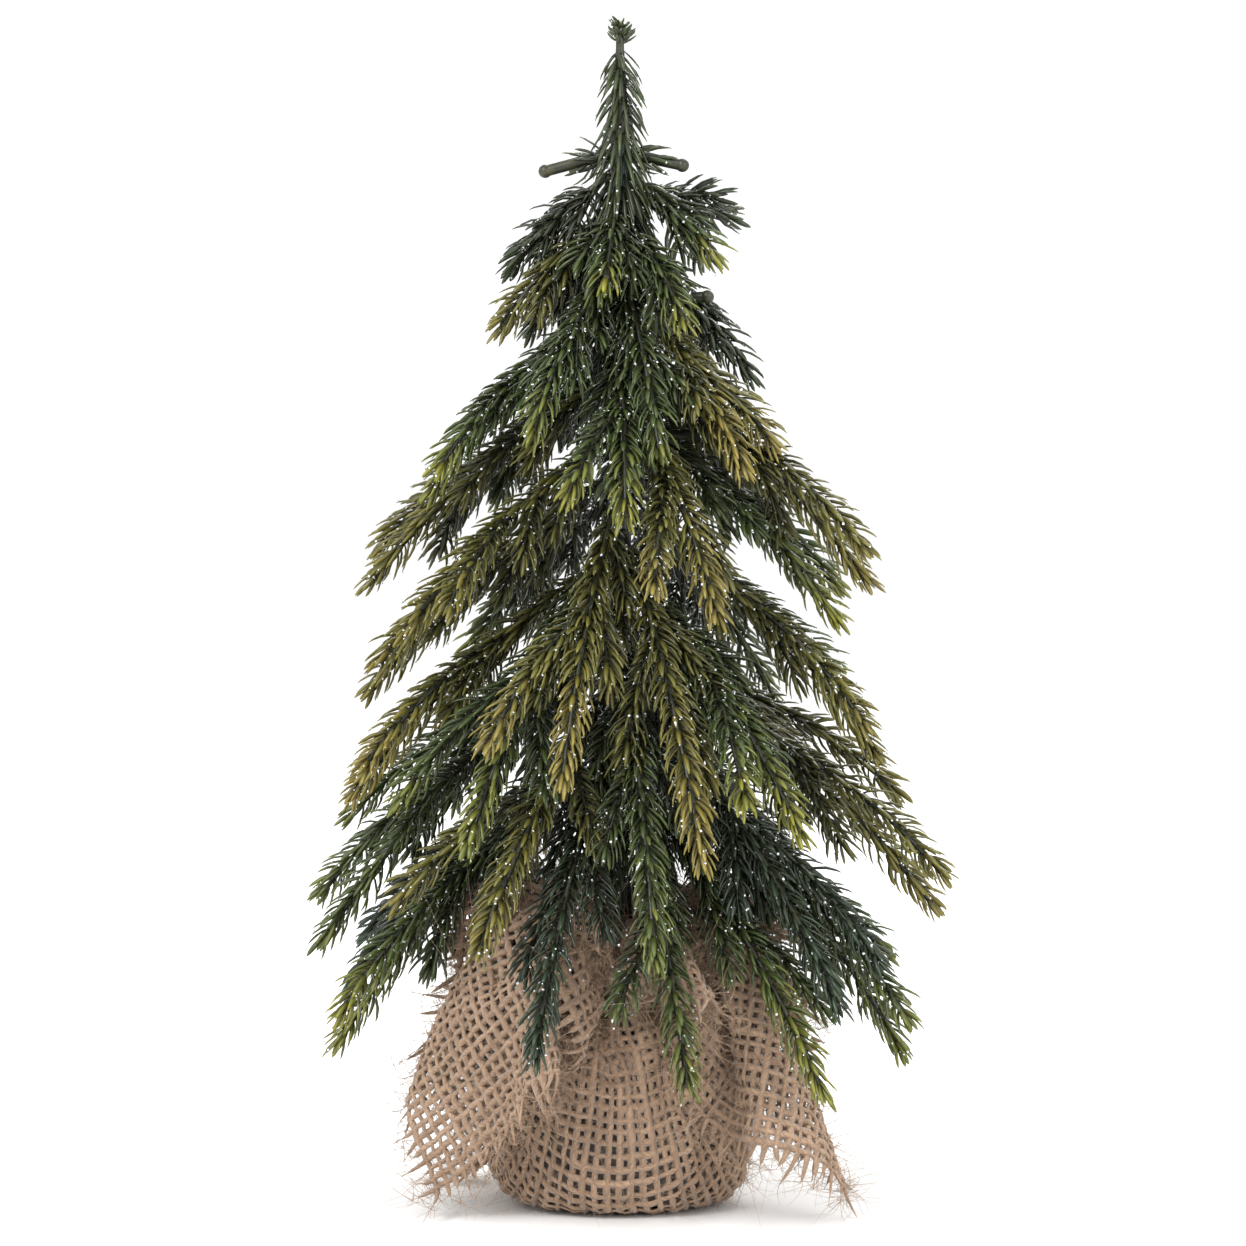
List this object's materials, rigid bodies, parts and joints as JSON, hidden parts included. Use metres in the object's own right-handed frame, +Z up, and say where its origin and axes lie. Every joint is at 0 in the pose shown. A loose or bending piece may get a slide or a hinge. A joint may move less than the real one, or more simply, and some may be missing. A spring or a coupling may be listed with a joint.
{
  "type": "artificial tabletop tree",
  "caption": "Small artificial evergreen with downswept, glittered foxtail sprigs that bend at the trunk, on a weighted base wrapped in burlap.",
  "frame": {"origin": "centre of the underside of the wrapped base", "axes": "+Z up the trunk to the leader's tip, -Y the front"},
  "size_m": [0.105, 0.0959, 0.1985],
  "materials": {
    "cement": "cast, matt",
    "burlap": "loose hairy jute weave",
    "twine": "twisted jute",
    "steel_wire": "drawn",
    "trunk_tape": "glossy wound tape",
    "bare_stem": "moulded, semi-gloss",
    "sprig_dark": "moulded, semi-gloss, glittered",
    "sprig_green": "moulded, semi-gloss, glittered",
    "sprig_teal": "moulded, semi-gloss, glittered",
    "sprig_yellow_green": "moulded, semi-gloss, glittered",
    "sprig_olive": "moulded, semi-gloss, glittered",
    "sprig_gold": "moulded, semi-gloss, glittered"
  },
  "bodies": {
    "stand": {"base_weight": "cement", "burlap_wrap": "burlap", "neck_tie": "twine", "trunk_wire": "steel_wire", "trunk_wrap": "trunk_tape", "leader_sprig": "sprig_green", "bare_stub_1": "bare_stem", "bare_stub_2": "bare_stem", "bare_stub_3": "bare_stem", "bare_stub_4": "bare_stem"},
    "sprig_01": {"sprig_01": "sprig_dark"},
    "sprig_02": {"sprig_02": "sprig_yellow_green"},
    "sprig_03": {"sprig_03": "sprig_green"},
    "sprig_04": {"sprig_04": "sprig_dark"},
    "sprig_05": {"sprig_05": "sprig_yellow_green"},
    "sprig_06": {"sprig_06": "sprig_olive"},
    "sprig_07": {"sprig_07": "sprig_yellow_green"},
    "sprig_08": {"sprig_08": "sprig_dark"},
    "sprig_09": {"sprig_09": "sprig_dark"},
    "sprig_10": {"sprig_10": "sprig_olive"},
    "sprig_11": {"sprig_11": "sprig_yellow_green"},
    "sprig_12": {"sprig_12": "sprig_green"},
    "sprig_13": {"sprig_13": "sprig_gold"},
    "sprig_14": {"sprig_14": "sprig_yellow_green"},
    "sprig_15": {"sprig_15": "sprig_green"},
    "sprig_16": {"sprig_16": "sprig_yellow_green"},
    "sprig_17": {"sprig_17": "sprig_olive"},
    "sprig_18": {"sprig_18": "sprig_green"},
    "sprig_19": {"sprig_19": "sprig_olive"},
    "sprig_20": {"sprig_20": "sprig_olive"},
    "sprig_21": {"sprig_21": "sprig_gold"},
    "sprig_22": {"sprig_22": "sprig_yellow_green"},
    "sprig_23": {"sprig_23": "sprig_dark"},
    "sprig_24": {"sprig_24": "sprig_olive"},
    "sprig_25": {"sprig_25": "sprig_yellow_green"},
    "sprig_26": {"sprig_26": "sprig_olive"},
    "sprig_27": {"sprig_27": "sprig_gold"},
    "sprig_28": {"sprig_28": "sprig_green"},
    "sprig_29": {"sprig_29": "sprig_olive"},
    "sprig_30": {"sprig_30": "sprig_gold"},
    "sprig_31": {"sprig_31": "sprig_yellow_green"},
    "sprig_32": {"sprig_32": "sprig_gold"},
    "sprig_33": {"sprig_33": "sprig_teal"},
    "sprig_34": {"sprig_34": "sprig_yellow_green"},
    "sprig_35": {"sprig_35": "sprig_olive"},
    "sprig_36": {"sprig_36": "sprig_green"},
    "sprig_37": {"sprig_37": "sprig_green"},
    "sprig_38": {"sprig_38": "sprig_olive"},
    "sprig_39": {"sprig_39": "sprig_green"},
    "sprig_40": {"sprig_40": "sprig_dark"},
    "sprig_41": {"sprig_41": "sprig_olive"},
    "sprig_42": {"sprig_42": "sprig_teal"},
    "sprig_43": {"sprig_43": "sprig_gold"},
    "sprig_44": {"sprig_44": "sprig_teal"},
    "sprig_45": {"sprig_45": "sprig_teal"},
    "sprig_46": {"sprig_46": "sprig_green"},
    "sprig_47": {"sprig_47": "sprig_yellow_green"},
    "sprig_48": {"sprig_48": "sprig_green"},
    "sprig_49": {"sprig_49": "sprig_green"},
    "sprig_50": {"sprig_50": "sprig_yellow_green"}
  },
  "joints": [
    {"name": "sprig_01_bend", "type": "hinge", "parent": "stand", "child": "sprig_01", "pos_m": [-0.00197, 0.00007, 0.17245], "axis": [0.0349, 0.9994, 0], "range_deg": [-5, 15]},
    {"name": "sprig_02_bend", "type": "hinge", "parent": "stand", "child": "sprig_02", "pos_m": [0.00196, -0.00017, 0.17258], "axis": [-0.0872, -0.9962, 0], "range_deg": [-5, 15]},
    {"name": "sprig_03_bend", "type": "hinge", "parent": "stand", "child": "sprig_03", "pos_m": [-0.00007, 0.00197, 0.17194], "axis": [0.9994, 0.0349, 0], "range_deg": [-5, 15]},
    {"name": "sprig_04_bend", "type": "hinge", "parent": "stand", "child": "sprig_04", "pos_m": [0.00175, 0.00093, 0.16897], "axis": [0.4695, -0.8829, 0], "range_deg": [-5, 15]},
    {"name": "sprig_05_bend", "type": "hinge", "parent": "stand", "child": "sprig_05", "pos_m": [-0.00035, -0.00196, 0.16794], "axis": [-0.9848, 0.1736, 0], "range_deg": [-5, 15]},
    {"name": "sprig_06_bend", "type": "hinge", "parent": "stand", "child": "sprig_06", "pos_m": [-0.00195, -0.00045, 0.166], "axis": [-0.225, 0.9744, 0], "range_deg": [-5, 15]},
    {"name": "sprig_07_bend", "type": "hinge", "parent": "stand", "child": "sprig_07", "pos_m": [0.00115, -0.00164, 0.16497], "axis": [-0.8192, -0.5736, 0], "range_deg": [-5, 15]},
    {"name": "sprig_08_bend", "type": "hinge", "parent": "stand", "child": "sprig_08", "pos_m": [-0.00149, 0.00134, 0.16394], "axis": [0.6691, 0.7431, 0], "range_deg": [-5, 15]},
    {"name": "sprig_09_bend", "type": "hinge", "parent": "stand", "child": "sprig_09", "pos_m": [0.00201, 0.00018, 0.16097], "axis": [0.0872, -0.9962, 0], "range_deg": [-5, 15]},
    {"name": "sprig_10_bend", "type": "hinge", "parent": "stand", "child": "sprig_10", "pos_m": [0.00131, 0.00156, 0.15801], "axis": [0.766, -0.6428, 0], "range_deg": [-5, 15]},
    {"name": "sprig_11_bend", "type": "hinge", "parent": "stand", "child": "sprig_11", "pos_m": [-0.00125, -0.0016, 0.15801], "axis": [-0.788, 0.6157, 0], "range_deg": [-5, 15]},
    {"name": "sprig_12_bend", "type": "hinge", "parent": "stand", "child": "sprig_12", "pos_m": [0.00056, -0.00196, 0.15594], "axis": [-0.9613, -0.2756, 0], "range_deg": [-5, 15]},
    {"name": "sprig_13_bend", "type": "hinge", "parent": "stand", "child": "sprig_13", "pos_m": [0.00159, -0.00129, 0.15401], "axis": [-0.6293, -0.7771, 0], "range_deg": [-5, 15]},
    {"name": "sprig_14_bend", "type": "hinge", "parent": "stand", "child": "sprig_14", "pos_m": [-0.00206, -0.00011, 0.15104], "axis": [-0.0523, 0.9986, 0], "range_deg": [-5, 15]},
    {"name": "sprig_15_bend", "type": "hinge", "parent": "stand", "child": "sprig_15", "pos_m": [-0.00039, 0.00203, 0.15001], "axis": [0.9816, 0.1908, 0], "range_deg": [-5, 15]},
    {"name": "sprig_16_bend", "type": "hinge", "parent": "stand", "child": "sprig_16", "pos_m": [0.00007, -0.00208, 0.14601], "axis": [-0.9994, -0.0349, 0], "range_deg": [-5, 15]},
    {"name": "sprig_17_bend", "type": "hinge", "parent": "stand", "child": "sprig_17", "pos_m": [0.00207, -0.00033, 0.14304], "axis": [-0.1564, -0.9877, 0], "range_deg": [-5, 15]},
    {"name": "sprig_18_bend", "type": "hinge", "parent": "stand", "child": "sprig_18", "pos_m": [-0.00182, 0.00105, 0.14201], "axis": [0.5, 0.866, 0], "range_deg": [-5, 15]},
    {"name": "sprig_19_bend", "type": "hinge", "parent": "stand", "child": "sprig_19", "pos_m": [0.00172, 0.00121, 0.13995], "axis": [0.5736, -0.8192, 0], "range_deg": [-5, 15]},
    {"name": "sprig_20_bend", "type": "hinge", "parent": "stand", "child": "sprig_20", "pos_m": [-0.00209, 0.00029, 0.13853], "axis": [0.1392, 0.9903, 0], "range_deg": [-5, 15]},
    {"name": "sprig_21_bend", "type": "hinge", "parent": "stand", "child": "sprig_21", "pos_m": [0.00099, -0.00187, 0.13698], "axis": [-0.8829, -0.4695, 0], "range_deg": [-5, 15]},
    {"name": "sprig_22_bend", "type": "hinge", "parent": "stand", "child": "sprig_22", "pos_m": [0.00213, 0.00011, 0.13298], "axis": [0.0523, -0.9986, 0], "range_deg": [-5, 15]},
    {"name": "sprig_23_bend", "type": "hinge", "parent": "stand", "child": "sprig_23", "pos_m": [0.00022, 0.00213, 0.13195], "axis": [0.9945, -0.1045, 0], "range_deg": [-5, 15]},
    {"name": "sprig_24_bend", "type": "hinge", "parent": "stand", "child": "sprig_24", "pos_m": [-0.00194, -0.00094, 0.12795], "axis": [-0.4384, 0.8988, 0], "range_deg": [-5, 15]},
    {"name": "sprig_25_bend", "type": "hinge", "parent": "stand", "child": "sprig_25", "pos_m": [-0.00146, 0.00162, 0.12305], "axis": [0.7431, 0.6691, 0], "range_deg": [-5, 15]},
    {"name": "sprig_26_bend", "type": "hinge", "parent": "stand", "child": "sprig_26", "pos_m": [-0.00218, 0.00004, 0.12098], "axis": [0.0175, 0.9998, 0], "range_deg": [-5, 15]},
    {"name": "sprig_27_bend", "type": "hinge", "parent": "stand", "child": "sprig_27", "pos_m": [-0.00053, -0.00213, 0.11905], "axis": [-0.9703, 0.2419, 0], "range_deg": [-5, 15]},
    {"name": "sprig_28_bend", "type": "hinge", "parent": "stand", "child": "sprig_28", "pos_m": [0.00135, 0.00173, 0.11801], "axis": [0.788, -0.6157, 0], "range_deg": [-5, 15]},
    {"name": "sprig_29_bend", "type": "hinge", "parent": "stand", "child": "sprig_29", "pos_m": [0.00217, -0.00034, 0.11698], "axis": [-0.1564, -0.9877, 0], "range_deg": [-5, 15]},
    {"name": "sprig_30_bend", "type": "hinge", "parent": "stand", "child": "sprig_30", "pos_m": [0.00068, -0.00211, 0.11298], "axis": [-0.9511, -0.309, 0], "range_deg": [-5, 15]},
    {"name": "sprig_31_bend", "type": "hinge", "parent": "stand", "child": "sprig_31", "pos_m": [-0.00134, -0.00178, 0.11002], "axis": [-0.7986, 0.6018, 0], "range_deg": [-5, 15]},
    {"name": "sprig_32_bend", "type": "hinge", "parent": "stand", "child": "sprig_32", "pos_m": [-0.0022, -0.00039, 0.10795], "axis": [-0.1736, 0.9848, 0], "range_deg": [-5, 15]},
    {"name": "sprig_33_bend", "type": "hinge", "parent": "stand", "child": "sprig_33", "pos_m": [-0.00016, 0.00223, 0.10744], "axis": [0.9976, 0.0698, 0], "range_deg": [-5, 15]},
    {"name": "sprig_34_bend", "type": "hinge", "parent": "stand", "child": "sprig_34", "pos_m": [0.00156, -0.00161, 0.10602], "axis": [-0.7193, -0.6947, 0], "range_deg": [-5, 15]},
    {"name": "sprig_35_bend", "type": "hinge", "parent": "stand", "child": "sprig_35", "pos_m": [0.00193, 0.0012, 0.09905], "axis": [0.5299, -0.848, 0], "range_deg": [-5, 15]},
    {"name": "sprig_36_bend", "type": "hinge", "parent": "stand", "child": "sprig_36", "pos_m": [-0.00191, 0.00124, 0.09802], "axis": [0.5446, 0.8387, 0], "range_deg": [-5, 15]},
    {"name": "sprig_37_bend", "type": "hinge", "parent": "stand", "child": "sprig_37", "pos_m": [0.00028, -0.00226, 0.09699], "axis": [-0.9925, -0.1219, 0], "range_deg": [-5, 15]},
    {"name": "sprig_38_bend", "type": "hinge", "parent": "stand", "child": "sprig_38", "pos_m": [0.00228, 0.00028, 0.09402], "axis": [0.1219, -0.9925, 0], "range_deg": [-5, 15]},
    {"name": "sprig_39_bend", "type": "hinge", "parent": "stand", "child": "sprig_39", "pos_m": [-0.00228, 0.00028, 0.09196], "axis": [0.1219, 0.9925, 0], "range_deg": [-5, 15]},
    {"name": "sprig_40_bend", "type": "hinge", "parent": "stand", "child": "sprig_40", "pos_m": [0.00071, 0.0022, 0.09002], "axis": [0.9511, -0.309, 0], "range_deg": [-5, 15]},
    {"name": "sprig_41_bend", "type": "hinge", "parent": "stand", "child": "sprig_41", "pos_m": [-0.00116, -0.00201, 0.08796], "axis": [-0.866, 0.5, 0], "range_deg": [-5, 15]},
    {"name": "sprig_42_bend", "type": "hinge", "parent": "stand", "child": "sprig_42", "pos_m": [0.00188, -0.00136, 0.08705], "axis": [-0.5878, -0.809, 0], "range_deg": [-5, 15]},
    {"name": "sprig_43_bend", "type": "hinge", "parent": "stand", "child": "sprig_43", "pos_m": [-0.00091, 0.00215, 0.08499], "axis": [0.9205, 0.3907, 0], "range_deg": [-5, 15]},
    {"name": "sprig_44_bend", "type": "hinge", "parent": "stand", "child": "sprig_44", "pos_m": [-0.00069, -0.00224, 0.08099], "axis": [-0.9563, 0.2924, 0], "range_deg": [-5, 15]},
    {"name": "sprig_45_bend", "type": "hinge", "parent": "stand", "child": "sprig_45", "pos_m": [-0.00221, 0.0008, 0.07944], "axis": [0.342, 0.9397, 0], "range_deg": [-5, 15]},
    {"name": "sprig_46_bend", "type": "hinge", "parent": "stand", "child": "sprig_46", "pos_m": [0.00235, -0.00021, 0.07906], "axis": [-0.0872, -0.9962, 0], "range_deg": [-5, 15]},
    {"name": "sprig_47_bend", "type": "hinge", "parent": "stand", "child": "sprig_47", "pos_m": [-0.00236, -0.00016, 0.07699], "axis": [-0.0698, 0.9976, 0], "range_deg": [-5, 15]},
    {"name": "sprig_48_bend", "type": "hinge", "parent": "stand", "child": "sprig_48", "pos_m": [0.00181, 0.00152, 0.07596], "axis": [0.6428, -0.766, 0], "range_deg": [-5, 15]},
    {"name": "sprig_49_bend", "type": "hinge", "parent": "stand", "child": "sprig_49", "pos_m": [0.00057, -0.0023, 0.07506], "axis": [-0.9703, -0.2419, 0], "range_deg": [-5, 15]},
    {"name": "sprig_50_bend", "type": "hinge", "parent": "stand", "child": "sprig_50", "pos_m": [0.00175, -0.00163, 0.07106], "axis": [-0.682, -0.7314, 0], "range_deg": [-5, 15]}
  ]
}
